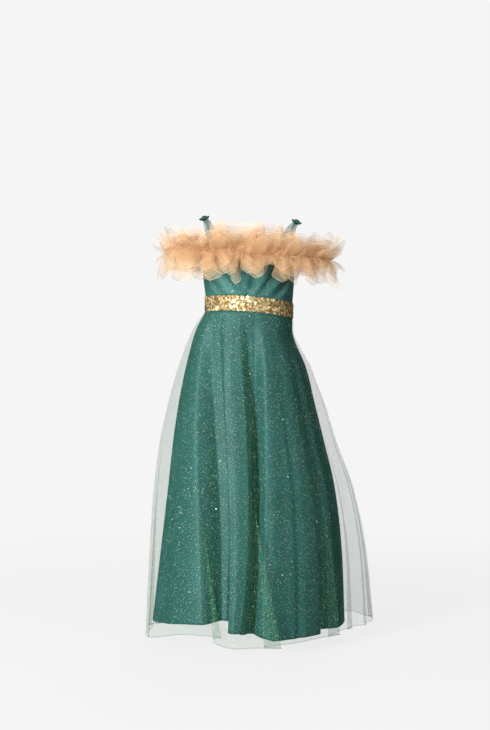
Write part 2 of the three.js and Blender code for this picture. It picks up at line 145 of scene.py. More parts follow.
# Folds of the satin, as troughs: the angles of both edges and the depth, each at the waist, the
# knee and the hem, and the share of the width that each wall takes, the rest being the floor.
# A negative depth makes a ridge. The knee is the share of the way down where it lies.
SATIN_FOLDS = [
    {"left": (-78, -66, -54), "right": (-54, -36, -21),
     "depth": (0, -3, -5), "walls": (0.7, 0.3)},
    {"left": (-60, -42, -27), "right": (-31, -16.5, -12),
     "depth": (0, 36, 44), "walls": (0.42, 0.2)},
    {"left": (-33, -21, -17), "right": (-29, -16.5, -12),
     "depth": (0, 9, 9), "walls": (0.5, 0.4)},
    {"left": (-30, -16.5, -12), "right": (-13, -1.5, -5.5),
     "depth": (0, -3, -5), "walls": (0.4, 0.6)},
    {"left": (-13, -1.5, -5.5), "right": (20, 12.5, 8.5),
     "depth": (0, 38, 42), "walls": (0.32, 0.44)},
    {"left": (14, 11, 8), "right": (32, 26, 24),
     "depth": (0, -3, -5), "walls": (0.35, 0.65)},
    {"left": (40, 44, 45), "right": (62, 63, 67),
     "depth": (0, 8, 24), "walls": (0.5, 0.5)},
    {"left": (-92, -86, -78), "right": (-68, -62, -54),
     "depth": (0, 5, 8), "walls": (0.6, 0.4)},
    {"left": (24, 27, 27), "right": (42, 38, 35),
     "depth": (0, 2, 3), "walls": (0.4, 0.6)},
    {"left": (80, 84, 87), "right": (102, 104, 107),
     "depth": (0, 9, 18), "walls": (0.3, 0.6)},
    {"left": (115, 120, 124), "right": (139, 142, 144),
     "depth": (0, 15, 26), "walls": (0.6, 0.3)},
    {"left": (156, 159, 161), "right": (178, 179, 179),
     "depth": (0, 12, 22), "walls": (0.3, 0.6)},
    {"left": (-158, -159, -159), "right": (-136, -138, -141),
     "depth": (0, 16, 28), "walls": (0.3, 0.55)},
    {"left": (-120, -120, -122), "right": (-98, -100, -102),
     "depth": (0, 9, 18), "walls": (0.6, 0.3)},
    {"left": (143, 146, 148), "right": (155, 158, 160),
     "depth": (0, 2.4, 0), "walls": (0.5, 0.5)},
    {"left": (-134, -135, -136), "right": (-122, -123, -125),
     "depth": (0, 2.6, 1), "walls": (0.5, 0.5)},
]
KNEE = 0.45

# Folds of the overskirt, which stand outwards: the angles of a fold at the waist and at the hem, its
# half width in degrees, its depth at the hem, and the share of the way down that it grows from.
# Slide is how far its cloth slips sideways at the hem: past a third of the half width, counted in
# millimetres, it lies double, as a pressed-over pleat.
TULLE_FLUTES = [
    {"waist": -46, "hem": -17, "half": 8, "depth": 13, "from": 0.3, "slide": 23},
    {"waist": -9, "hem": 12, "half": 11, "depth": 15, "from": 0.32, "slide": 36},
    {"waist": 42, "hem": 50, "half": 11, "depth": 12, "from": 0.3, "slide": 34},
    {"waist": 64, "hem": 67, "half": 7, "depth": 12, "from": 0.15, "slide": 20},
    {"waist": 86, "hem": 94, "half": 28, "depth": 46, "from": 0.22, "slide": 0},
    {"waist": 74, "hem": 78, "half": 3.4, "depth": 15, "from": 0.08, "slide": 0},
    {"waist": 96, "hem": 103, "half": 3.4, "depth": 12, "from": 0.3, "slide": 0},
    {"waist": 102, "hem": 108, "half": 8, "depth": 14, "from": 0.2, "slide": -16},
    {"waist": 122, "hem": 129, "half": 8, "depth": 22, "from": 0.16, "slide": 18},
    {"waist": 146, "hem": 151, "half": 8, "depth": 18, "from": 0.14, "slide": 12},
    {"waist": 172, "hem": 174, "half": 8, "depth": 22, "from": 0.1, "slide": -14},
    {"waist": -160, "hem": -163, "half": 8, "depth": 20, "from": 0.12, "slide": 16},
    {"waist": -134, "hem": -138, "half": 9, "depth": 22, "from": 0.14, "slide": -18},
    {"waist": -106, "hem": -111, "half": 9, "depth": 18, "from": 0.18, "slide": 14},
    {"waist": -80, "hem": -84, "half": 8, "depth": 5, "from": 0.25, "slide": 0},
    {"waist": -68, "hem": -74, "half": 3.4, "depth": 6, "from": 0.15, "slide": 0},
]

# Drapes of the bodice, which run together towards the waist. Deepest is where the bottom of a drape
# lies, from -1 at its left edge to 1 at its right.
BODICE_TUCKS = [
    {"neck": -84, "waist": -38, "half": 13, "depth": 3.6, "deepest": -0.2},
    {"neck": -58, "waist": -21, "half": 12, "depth": 4.4, "deepest": 0.4},
    {"neck": -24, "waist": -6, "half": 11, "depth": 3.0, "deepest": 0.2},
    {"neck": 22, "waist": 3, "half": 12, "depth": 4.4, "deepest": -0.3},
    {"neck": 56, "waist": 17, "half": 13, "depth": 4.6, "deepest": -0.3},
    {"neck": 88, "waist": 31, "half": 13, "depth": 4.4, "deepest": 0.2},
]
# They have their full depth from the first of these shares of the way down to the second, and then
# flatten towards the waist, where the third is left of it.
TUCKS_GROWN_BY = 0.3
TUCKS_FLATTEN_FROM = 0.8
TUCKS_LEFT_AT_WAIST = 0.4

# How far the crest of a pressed-over fold leads its middle, as a share of its half width.
CREST_LEAD = 0.35


def around(level, angle):
    """The value at a place round the garment, from its four values at front, back, left and right."""
    mean = (level["front"] + level["back"] + level["left"] + level["right"]) / 4
    oval = (level["front"] + level["back"] - level["left"] - level["right"]) / 4
    ahead = (level["front"] - level["back"]) / 2
    across = (level["right"] - level["left"]) / 2
    return mean + ahead * math.cos(angle) + across * math.sin(angle) + oval * math.cos(2 * angle)


def column_at(rows, column, share):
    """One column of a table as a smooth curve through its rows, and straight on past the last."""
    last = len(rows) - 1

    def slope(a, b):
        return (rows[b][column] - rows[a][column]) / (rows[b]["share"] - rows[a]["share"])

    if share >= rows[last]["share"]:
        return rows[last][column] + slope(last - 1, last) * (share - rows[last]["share"])
    i = 0
    while i < last - 1 and share > rows[i + 1]["share"]:
        i += 1
    step = rows[i + 1]["share"] - rows[i]["share"]
    s = (share - rows[i]["share"]) / step
    leaving = slope(max(i - 1, 0), i + 1) * step
    arriving = slope(i, min(i + 2, last)) * step
    p, q = rows[i][column], rows[i + 1][column]
    square = s * s
    cube = square * s
    return (
        p * (2 * cube - 3 * square + 1)
        + q * (3 * square - 2 * cube)
        + leaving * (cube - 2 * square + s)
        + arriving * (cube - square)
    )


def section_at(rows, share):
    return {side: column_at(rows, side, share) for side in ("front", "back", "left", "right")}


def section_point(section, angle, outwards, height):
    """A point of an oval section, moved outwards."""
    across, ahead = math.sin(angle), math.cos(angle)
    half_width = section["right" if across > 0 else "left"] + outwards
    half_depth = section["front" if ahead > 0 else "back"] + outwards
    return Vector((half_width * across, -half_depth * ahead, height))


def away_from(line, half, angle):
    """How far an angle lies from a fold's line, signed, as a share of the fold's half width."""
    turn = angle - math.radians(line)
    return math.atan2(math.sin(turn), math.cos(turn)) / math.radians(half)


def bump(away):
    """A smooth rise to 1 in a fold's middle, and 0 from its edges on."""
    return math.cos(away * math.pi / 2) ** 2 if abs(away) < 1 else 0.0


def hem_height(hem, lifts, angle):
    """The height of a hem, with its lifted stretches."""
    height = around(hem, angle)
    turned = math.degrees(math.atan2(math.sin(angle), math.cos(angle)))
    for stretch in lifts:
        (first, last), (before, after) = stretch["ends"], stretch["fades"]
        rise = smoothstep(turned, first - before / 2, first + before / 2)
        fall = 1 - smoothstep(turned, last - after / 2, last + after / 2)
        height += stretch["lift"] * rise * fall
    return height


def run_at(values, share):
    """A value at a share, on the curve through its values at the waist, the knee and the hem."""
    waist, knee, hem = values
    at_waist = (share - KNEE) * (share - 1) / KNEE
    at_knee = share * (share - 1) / (KNEE * (KNEE - 1))
    at_hem = share * (share - KNEE) / (1 - KNEE)
    return waist * at_waist + knee * at_knee + hem * at_hem


def leant_bump(away, deepest):
    """A bump whose top lies off its middle."""
    if abs(away) >= 1:
        return 0.0
    side = 1 if away > deepest else -1
    return bump((away - deepest) / (1 - side * deepest))


def satin_fold_depth(angle, share):
    """How far the satin lies inwards: a smooth wall on each side of a fold, and a floor between."""
    depth = 0
    for fold in SATIN_FOLDS:
        left, right = run_at(fold["left"], share), run_at(fold["right"], share)
        across = (away_from((left + right) / 2, (right - left) / 2, angle) + 1) / 2
        down, up = fold["walls"]
        shape = smoothstep(across, 0, down) * (1 - smoothstep(across, 1 - up, 1))
        depth += run_at(fold["depth"], share) * shape
    return depth


def bodice_point(angle, share):
    tuck = 0
    for fold in BODICE_TUCKS:
        away = away_from(lerp(fold["neck"], fold["waist"], share), fold["half"], angle)
        tuck += fold["depth"] * leant_bump(away, fold["deepest"])
    flattened = lerp(1, TUCKS_LEFT_AT_WAIST, smoothstep(share, TUCKS_FLATTEN_FROM, 1))
    faded = tuck * smoothstep(share, 0, TUCKS_GROWN_BY) * flattened
    bottom = around(WAIST_LINE, angle) + WAISTBAND_HEIGHT + SEAM_GAP
    height = lerp(around(NECK_LINE, angle), bottom, share)
    return section_point(section_at(BODICE_SECTIONS, share), angle, -faded, height)


def waistband_point(angle, share, outwards=0.0):
    height = around(WAIST_LINE, angle) + WAISTBAND_HEIGHT * (1 - share)
    return section_point(SKIRT_SECTIONS[0], angle, (SEQUIN_TAPE - SATIN) / 2 + outwards, height)


def satin_point(angle, share):
    waist = around(WAIST_LINE, angle) - SEAM_GAP
    height = lerp(waist, hem_height(SATIN_HEM, SATIN_HEM_LIFTS, angle), share)
    return section_point(
        section_at(SKIRT_SECTIONS, share), angle, -satin_fold_depth(angle, share), height
    )


def tulle_point(angle, share):
    """The overskirt is the satin skirt's smooth form, moved out, with folds of its own."""
    waist = around(WAIST_LINE, angle) - SEAM_GAP
    height = lerp(waist, hem_height(TULLE_HEM, TULLE_HEM_LIFTS, angle), share)
    satin_share = (waist - height) / (waist - around(SATIN_HEM, angle))
    section = section_at(SKIRT_SECTIONS, satin_share)
    lift = section_at(OVERSKIRT_LIFT, share)
    for side in section:
        section[side] += lift[side]
    outwards, sideways = 0, 0
    for fold in TULLE_FLUTES:
        away = away_from(lerp(fold["waist"], fold["hem"], share), fold["half"], angle)
        if abs(away) >= 1 or share <= fold["from"]:
            continue
        grown = (share - fold["from"]) / (1 - fold["from"])
        lead = CREST_LEAD * math.copysign(1, fold["slide"]) if fold["slide"] else 0
        crest = (away + lead) / (1 + lead * math.copysign(1, away + lead))
        outwards += fold["depth"] * grown * bump(crest)
        sideways -= fold["slide"] * grown * math.sin(math.pi * away)
    point = section_point(section, angle, outwards, height)
    along = section_point(section, angle + math.pi / 2, 0, 0).normalized()
    return point + along * sideways


# The line that the ruffle is gathered along, and its loop in plan.
GATHER_LINE = sides(front=-62, back=-80, left=-66, right=-88)
RUFFLE_SIDE = 159
GATHER_RIPPLE = 0.8
LOOP_SLACK = 0.1
LOOP_OFF_BODICE = SATIN / 2 + SEAM_GAP + TULLE / 2 + GATHER_RIPPLE + LOOP_SLACK
RUFFLE_LOOP = sides(
    front=BODICE_SECTIONS[0]["front"] + LOOP_OFF_BODICE,
    back=BODICE_SECTIONS[0]["back"] + LOOP_OFF_BODICE,
    left=RUFFLE_SIDE,
    right=RUFFLE_SIDE,
)
LOOP_STEPS = 720


def loop_lengths():
    """Lengths along the loop, so that it can be parted into stretches of equal length."""
    lengths = [0.0]
    for i in range(LOOP_STEPS):
        a = section_point(RUFFLE_LOOP, i / LOOP_STEPS * math.tau, 0, 0)
        b = section_point(RUFFLE_LOOP, (i + 1) / LOOP_STEPS * math.tau, 0, 0)
        lengths.append(lengths[-1] + (b - a).length)
    return lengths


LOOP_LENGTHS = loop_lengths()


def loop_angle(way):
    """The angle at a share of the way round the loop, which starts at centre front."""
    length = (way % 1.0) * LOOP_LENGTHS[-1]
    low, high = 0, LOOP_STEPS
    while high - low > 1:
        middle = (low + high) // 2
        if LOOP_LENGTHS[middle] <= length:
            low = middle
        else:
            high = middle
    part = (length - LOOP_LENGTHS[low]) / (LOOP_LENGTHS[high] - LOOP_LENGTHS[low])
    return (low + part) / LOOP_STEPS * math.tau


# The noise seldom goes past 0.6 either way, so it is raised to run from about -1 to 1.
NOISE_GAIN = 1.6
SEED_STEPS = (7.3, 3.1, 1.7)


def uneven(way, bumps, seed):
    """A smooth chance value from -1 to 1 that changes about so many times round the loop."""
    ring = Vector((math.cos(way * math.tau), math.sin(way * math.tau), 0)) * (bumps / math.tau)
    return NOISE_GAIN * noise.noise(ring + Vector([seed * step for step in SEED_STEPS]))


# Layers of the ruffle, all gathered along their middles. Line is how far a layer's gathers lie above
# the ruffle's own line, and up and down are its shares of the ruffle's reach. Base and lean are how
# far it stands out at its gathers and at its edges, and swing and petal are how far its waves stand
# out and how much further the outward ones reach. Ragged is how uneven its reach is, ends is its
# share of reach at both arms, curl is how far its waves lean over sideways, as a share of their
# swing, and pleats is its share of the depth of the small pleats.
UPPER_REACH = sides(front=54, back=48, left=41, right=55)
LOWER_REACH = sides(front=44, back=46, left=50, right=34)
STANDING_LAYERS = [
    {"waves": 9, "line": 0, "up": 1.04, "down": 0.5, "base": 0, "lean": 4, "swing": 4,
     "petal": 2, "ragged": 0.1, "ends": 0.7, "curl": 0.2, "pleats": 0.5},
    {"waves": 17, "line": 2, "up": 0.84, "down": 1.0, "base": 1, "lean": 14, "swing": 12,
     "petal": 12, "ragged": 0.28, "ends": 1.0, "curl": 0.5, "pleats": 1.0},
    {"waves": 13, "line": -2, "up": 0.7, "down": 0.7, "base": 2, "lean": 22, "swing": 14,
     "petal": 12, "ragged": 0.3, "ends": 0.6, "curl": 0.5, "pleats": 0.9},
]
PUFFED_LAYERS = [
    {"waves": 15, "line": -2, "up": 0.54, "down": 0.9, "base": 3, "lean": 26, "swing": 14,
     "petal": 14, "ragged": 0.28, "ends": 1.1, "curl": 0.7, "pleats": 1.1},
    {"waves": 19, "line": 3, "up": 0.64, "down": 0.62, "base": 5, "lean": 29, "swing": 13,
     "petal": 12, "ragged": 0.3, "ends": 0.7, "curl": 0.7, "pleats": 1.0},
    {"waves": 11, "line": -1, "up": 0.4, "down": 0.5, "base": 7, "lean": 33, "swing": 15,
     "petal": 12, "ragged": 0.3, "ends": 0.6, "curl": 0.5, "pleats": 0.9},
]
# Small pleats run out of the gathers. They set in over a sixth of the reach, and die out by a power
# of what is left of it.
PLEATS_PER_WAVE = 4
PLEAT_DEPTH = 3.0
PLEATS_SET_IN = 6
PLEATS_DIE_OUT = 0.7
# How far the line of the gathers wanders up and down, how often, and its own chance.
LINE_WANDER = 11
LINE_BUMPS = 9
LINE_SEED = 70
# Chance in the waves of a layer: how many bumps it has to a wave, and what it adds to the seed.
WAVE_CHANCE = {
    "start": (0.5, 0),
    "pleats": (1, 23),
    "strength": (0.7, 31),
    "reach": (0.8, 43),
    "fan": (0.6, 57),
}
# How far chance shifts the waves and the pleats, in radians, how much it changes a wave's strength,
# and how far it spreads the edge sideways. A wave's swing grows by a power of the way to the edge.
WAVE_DRIFT = 2.6
PLEAT_DRIFT = 1.5
STRENGTH_SPREAD = 0.85
FAN = 20
SWING_CURVE = 0.8
# A layer springs out from its gathers by these powers, sooner below them, where it hangs. At the
# arms it stands out less.
SPRING_UP = 2.2
SPRING_DOWN = 3.5
OUT_AT_ARMS = 0.66
# Where the ruffle's upper edge dips at the straps, and the share of its reach that is kept there.
STRAP_DIPS = [{"at": -33, "half": 9, "kept": 0.5}, {"at": 39, "half": 11, "kept": 0.5}]


def frill_point(layer, way, share):
    """A point of a gathered layer: share runs from the upper edge (0) over the gathers (0.5)."""
    upwards = share < 0.5
    from_line = abs(1 - 2 * share)
    angle = loop_angle(way)
    ahead = abs(math.cos(angle))
    seed = layer["waves"] + (0.5 if upwards else 0)

    def chance(name):
        per_wave, number = WAVE_CHANCE[name]
        return uneven(way, layer["waves"] * per_wave, seed + number)

    phase = math.tau * layer["waves"] * way + WAVE_DRIFT * chance("start")
    strength = 1 + STRENGTH_SPREAD * chance("strength")
    swing = GATHER_RIPPLE + layer["swing"] * strength * from_line**SWING_CURVE
    pleat_phase = PLEATS_PER_WAVE * phase + PLEAT_DRIFT * chance("pleats")
    pleats = layer["pleats"] * PLEAT_DEPTH * math.sin(pleat_phase)
    pleats *= min(PLEATS_SET_IN * from_line, 1)
    pleats *= (1 - from_line) ** PLEATS_DIE_OUT

    shift = layer["line"] + LINE_WANDER * uneven(way, LINE_BUMPS, LINE_SEED)
    reach = around(UPPER_REACH if upwards else LOWER_REACH, angle)
    reach *= layer["up" if upwards else "down"]
    reach += -shift if upwards else shift
    reach *= 1 + layer["ragged"] * chance("reach")
    point_of_petal = 1 - 2 * abs(math.sin(phase / 2 - math.pi / 4))
    reach = (reach + layer["petal"] * point_of_petal * from_line) * from_line
    reach *= lerp(layer["ends"], 1, ahead)
    if upwards:
        for dip in STRAP_DIPS:
            reach *= 1 - (1 - dip["kept"]) * bump(away_from(dip["at"], dip["half"], angle))

    rise = 1 - (1 - from_line) ** (SPRING_UP if upwards else SPRING_DOWN)
    out = lerp(OUT_AT_ARMS, 1, ahead) * lerp(layer["base"], layer["lean"], rise)
    out = out + swing * math.sin(phase) + pleats
    curl = -layer["curl"] * layer["swing"] * strength * from_line * math.sin(2 * phase)
    curl += FAN * from_line * chance("fan")
    half_depth = RUFFLE_LOOP["front" if math.cos(angle) > 0 else "back"]
    along = Vector((RUFFLE_SIDE * math.cos(angle), half_depth * math.sin(angle), 0)).normalized()
    height = around(GATHER_LINE, angle) + shift + (reach if upwards else -reach)
    point = section_point(RUFFLE_LOOP, angle, 0, height)
    return point + Vector((along.y, -along.x, 0)) * out + along * curl


# The straps: the angles of their feet, and the height and place of the knot on top.
STRAPS = [
    {"side": "left", "front": -60, "back": -130, "top": -2.0, "out": -91, "inwards": 1},
    {"side": "right", "front": 67, "back": 130, "top": -9.5, "out": 97, "inwards": -1},
]
STRAP_WIDTH = 20
STRAP_WIDTH_AT_KNOT = 10
SHOULDER_SLOPE = 20
STRAP_GATHERS = 5
STRAP_RIPPLE = 0.8
# The knot's half sizes, the wraps that run round it on a slant, how deep the grooves between them
# are, and how much of its height it stands above the strap.
KNOT = {"across": 6.5, "along": 6.0, "up": 5.0, "wraps": 3, "slant": 1.5, "dip": 0.2, "seat": 0.7}
# The short loops and ends of the tied band beside each knot, in the knot's own frame.
KNOT_LOOPS = [
    {"at": (-6.5, -2.5, -1.0), "turn": (0.2, 0.5, 0.4), "half": (5.0, 3.4, 2.6)},
    {"at": (6.5, -1.5, -1.5), "turn": (-0.3, -0.6, -0.3), "half": (4.6, 3.2, 2.2)},
    {"at": (-2.0, -6.0, -4.0), "turn": (0.9, 0.2, 1.2), "half": (5.0, 2.4, 1.4)},
]


def strap_point(strap, across, share):
    """A point of a strap, from its front foot over the shoulder (0.5) to its back foot."""
    foot, facing = (strap["front"], 1) if share < 0.5 else (strap["back"], -1)
    turn = math.pi * min(share, 1 - share)
    spread = STRAP_WIDTH / 2 / BODICE_SECTIONS[0]["front"] * strap["inwards"] * facing
    start = bodice_point(math.radians(foot) + across * spread, 0)
    slope = math.radians(SHOULDER_SLOPE)
    reach = across * STRAP_WIDTH_AT_KNOT / 2
    top_x = strap["out"] + reach * math.cos(slope) * strap["inwards"]
    top_z = strap["top"] + reach * math.sin(slope)
    ripple = STRAP_RIPPLE * math.sin(turn) * math.cos(math.pi * STRAP_GATHERS * across)
    height = lerp(start.z + SEAM_GAP, top_z, math.sin(turn))
    middle = Vector((lerp(top_x, start.x, math.cos(turn)), start.y * math.cos(turn), height))
    away = Vector((0, math.copysign(math.cos(turn), start.y), math.sin(turn)))
    return middle + away * ripple


def add_node(tree, kind, settings=None, links=None):
    """Adds a node. Settings name its values or its inputs, and links give inputs their sockets."""
    node = tree.nodes.new(kind)
    for name, value in (settings or {}).items():
        if hasattr(node, name):
            setattr(node, name, value)
        else:
            node.inputs[name].default_value = value
    for name, socket in (links or {}).items():
        tree.links.new(socket, node.inputs[name])
    return node


def new_material(name):
    material = bpy.data.materials.new(name)
    material.use_nodes = True
    material.node_tree.nodes.clear()
    return material, material.node_tree


def finish_material(tree, surface):
    add_node(tree, "ShaderNodeOutputMaterial", links={"Surface": surface.outputs["BSDF"]})


# Where on the noise the two tones of a mottled colour are pure.
TONE_ENDS = (0.3, 0.7)


def mottled(tree, low, high, patch, detail=3.0):
    """A colour that drifts between two tones over patches of a size in millimetres."""
    place = add_node(tree, "ShaderNodeTexCoord")
    clouds = add_node(
        tree,
        "ShaderNodeTexNoise",
        {"Scale": 1 / (patch * MM), "Detail": detail},
        {"Vector": place.outputs["Object"]},
    )
    ramp = add_node(tree, "ShaderNodeValToRGB", links={"Fac": clouds.outputs["Fac"]})
    for end, place_on_ramp, tone in zip(ramp.color_ramp.elements, TONE_ENDS, (low, high)):
        end.position = place_on_ramp
        end.color = linear(tone)
    return place, ramp.outputs["Color"]


def satin_material(name, low, high):
    """Polyester satin, woven with long floats: smooth, glossy along its ridges, soft in its folds."""
    material, tree = new_material(name)
    place, colour = mottled(tree, low, high, patch=60)
    # The floats are about 0.3 mm apart, too fine to show, and are drawn as grain of 1.2 mm.
    grain = add_node(
        tree,
        "ShaderNodeTexNoise",
        {"Scale": 1 / (1.2 * MM), "Detail": 2.0},
        {"Vector": place.outputs["Object"]},
    )
    relief = add_node(
        tree,
        "ShaderNodeBump",
        {"Strength": 0.25, "Distance": 0.0004},
        {"Height": grain.outputs["Fac"]},
    )
    surface = add_node(
        tree,
        "ShaderNodeBsdfPrincipled",
        {
            "Metallic": 0.15,
            "Roughness": 0.6,
            "Sheen Weight": 0.2,
            "Sheen Roughness": 0.35,
            "Sheen Tint": linear("#8FC4B8"),
        },
        {"Base Color": colour, "Normal": relief.outputs["Normal"]},
    )
    finish_material(tree, surface)
    return material


def tulle_material(name, low, high, alpha, glow):
    """Nylon tulle: a fine net that lets light through, so layers build up to a soft solid colour.

    Its holes are about 1 mm wide, too fine to show, and are drawn as alpha. The glow is a painted
    glow:
    an emission that stands in for the light of the pale room coming through the net from behind.
    """
    material, tree = new_material(name)
    _, colour = mottled(tree, low, high, patch=14)
    surface = add_node(
        tree,
        "ShaderNodeBsdfPrincipled",
        {
            "Alpha": alpha,
            "Roughness": 0.7,
            "Specular IOR Level": 0.2,
            "Sheen Weight": 0.2,
            "Sheen Roughness": 0.5,
            "Emission Color": linear(high),
            "Emission Strength": glow,
        },
        {"Base Color": colour},
    )
    finish_material(tree, surface)
    return material


def metal_material(name, low, high, patch, roughness, metallic):
    """Metallised polyester film, cut into sequins or glitter. Its tone drifts from dark to pale from
    place to place as a painted reflection, so that each flake seems to mirror another tone.
    """
    material, tree = new_material(name)
    _, colour = mottled(tree, low, high, patch, detail=0.0)
    surface = add_node(
        tree,
        "ShaderNodeBsdfPrincipled",
        {"Metallic": metallic, "Roughness": roughness},
        {"Base Color": colour},
    )
    finish_material(tree, surface)
    return material


MATERIALS = {
    "satin": satin_material("teal_polyester_satin", "#225A59", "#2B6867"),
    # The bodice's satin is the skirt's teal satin painted lighter: painted light, for the brighter
    # light on the bodice.
    "bodice_satin_painted_lighter": satin_material("draped_teal_satin_painted_lighter", "#2D6761", "#397971"),
    # The knots are the teal satin painted darker: painted shade, for the shade they sit in on the
    # shoulders.
    "knot_satin_painted_shade": satin_material("teal_satin_painted_shade", "#1C4844", "#265A54"),
    # The last number of each tulle is its painted glow, an emission that stands in for the room's
    # light coming through the net.
    "green_tulle": tulle_material("sheer_green_nylon_tulle", "#236E49", "#2B7D54", 0.155, 0.15),
    "green_edge": tulle_material("cut_edge_of_green_tulle", "#2C5E48", "#356C54", 0.4, 0.1),
    "tan_tulle": tulle_material("soft_tan_nylon_tulle", "#D4A778", "#DEB588", 0.38, 0.17),
    # The drawn-up net is denser, and it is also painted darker with painted shade in the pinch of the
    # gathers.
    "tan_gathers_and_shade": tulle_material("tan_tulle_drawn_up_and_painted_shade", "#BF9066", "#CDA179", 0.5, 0.12),
    # The single net is sheerer, and it is also painted paler and given more painted glow, so that the
    # ends and arms read lighter.
    "tan_single_painted_pale": tulle_material("single_tan_tulle_painted_pale", "#DEB88C", "#EDCFA8", 0.21, 0.24),
    "tan_edge": tulle_material("cut_edge_of_tan_tulle", "#E2BE92", "#F0D2AA", 0.5, 0.22),
    "strap_tulle": tulle_material("gathered_teal_tulle", "#35655A", "#527F73", 0.6, 0.03),
    "ribbon": satin_material("gold_ribbon_ground", "#7A6230", "#967A40"),
    # The sequins' and the glitter's tones drift from dark to pale as a painted reflection.
    "sequin": metal_material(
        "gold_sequin_film", "#A98343", "#F5E4B4", patch=5, roughness=0.36, metallic=0.45
    ),
    "glitter": metal_material(
        "pale_gold_glitter_film", "#7A9E8E", "#F6F8E6", patch=3, roughness=0.35, metallic=0.3
    ),
}


def place_piece(name, mesh):
    """Puts a mesh in the scene as a piece of the costume, at the origin."""
    piece = bpy.data.objects.new(name, mesh)
    bpy.context.scene.collection.objects.link(piece)
    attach(piece, "root")
    return piece


def new_piece(name, bm, materials, replaces=()):
    """Makes a piece of the costume out of a bmesh, with smooth faces."""
    for face in bm.faces:
        face.smooth = True
    mesh = bpy.data.meshes.new(name)
    bm.to_mesh(mesh)
    bm.free()
    for material in materials:
        mesh.materials.append(MATERIALS[material])
    piece = place_piece(name, mesh)
    if replaces:
        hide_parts(*replaces)
    return piece


# Points nearer than this are made one, where a closed cloth meets itself.
SAME_POINT = 0.005


def lay_grid(bm, surface, columns, shares, across=(0.0, 1.0), closed=False, paint=None):
    """Lays a flat grid on a surface, a row for each share. Paint picks the material of a face."""
    rows = len(shares) - 1
    made = bmesh.ops.create_grid(bm, x_segments=columns, y_segments=rows, size=0.5, calc_uvs=True)
    verts = made["verts"]
    if paint:
        for face in {face for vertex in verts for face in vertex.link_faces}:
            middle = face.calc_center_median()
            row = int((0.5 - middle.y) * rows)
            face.material_index = paint(middle.x + 0.5, (shares[row] + shares[row + 1]) / 2)
    for vertex in verts:
        place = lerp(*across, vertex.co.x + 0.5)
        share = shares[round((0.5 - vertex.co.y) * rows)]
        vertex.co = surface(place, share) * MM
    if closed:
        bmesh.ops.remove_doubles(bm, verts=verts, dist=SAME_POINT * MM)


def even_shares(rows):
    return [i / rows for i in range(rows + 1)]


def cloth_piece(name, surface, columns, shares, slot, materials, replaces=(), **options):
    """A piece of cloth laid on a surface, with the cut of its flat sheet as its UV map."""
    bm = bmesh.new()
    bm.loops.layers.uv.new("cut")
    lay_grid(bm, surface, columns, shares, **options)
    return new_piece(name, bm, materials, replaces)


def thicken(piece, thickness):
    """Gives a cloth its thickness, half to each side."""
    wall = piece.modifiers.new("thickness", "SOLIDIFY")
    wall.thickness = thickness * MM
    wall.offset = 0


def panel_edges(sections, start, end):
    """A panel's first and last angle, half a seam gap short of each seam."""
    short = SEAM_GAP / 2 / sections[-1]["back"]
    return (math.radians(start) + short, math.radians(end) - short)


# Columns and rows of the faces of each cloth.
BODICE_ROWS = 44
SATIN_GRID = (240, 110)
NET_GRID = (260, 100)
NET_EDGE_FROM = 0.997
OVERSKIRT_NODES = ("overskirt_front", "overskirt_back")


def add_bodice():
    pieces = {}
    panels = [
        ("bodice_front", -90, 90, 150, 0.27),
        ("bodice_back_right", 90, 180, 60, 0.13),
        ("bodice_back_left", 180, 270, 60, 0.13),
    ]
    for node, start, end, columns, width in panels:
        piece = cloth_piece(
            f"{node}_satin",
            bodice_point,
            columns,
            even_shares(BODICE_ROWS),
            "satin",
            ["bodice_satin_painted_lighter"],
            [node],
            across=panel_edges(BODICE_SECTIONS, start, end),
        )
        thicken(piece, SATIN)
        pieces[node] = piece
    return pieces


def add_satin_skirts():
    columns, rows = SATIN_GRID
    for node, start, end in [("skirt_front", -90, 90), ("skirt_back", 90, 270)]:
        piece = cloth_piece(
            f"{node}_satin",
            satin_point,
            columns,
            even_shares(rows),
            "satin",
            ["satin"],
            [node],
            across=panel_edges(SKIRT_SECTIONS, start, end),
        )
        thicken(piece, SATIN)


def add_overskirts():
    pieces = {}
    columns, rows = NET_GRID
    shares = even_shares(rows)[:-1] + [NET_EDGE_FROM, 1.0]
    for node, (start, end) in zip(OVERSKIRT_NODES, [(-90, 90), (90, 270)]):
        piece = cloth_piece(
            f"{node}_net",
            tulle_point,
            columns,
            shares,
            "green_tulle",
            ["green_tulle", "green_edge"],
            [node],
            across=panel_edges(SKIRT_SECTIONS, start, end),
            paint=lambda place, share: 1 if share > NET_EDGE_FROM else 0,
        )
        pieces[node] = piece
    return pieces


# Real glitter is about 0.4 mm across, too fine to show, and is drawn as flakes of 1.1 mm. They lie a
# little off the cloth, so that no fold hides them, and differ in size and tilt.
FLAKE_RADIUS = 0.54
FLAKE_CORNERS = 5
FLAKE_LIFT = 0.9
FLAKE_SIZES = (0.6, 1.15)
FLAKE_TILT = 0.6
FLAKES_PER_SQUARE_METRE = 62000
SEEDS_APART = 10


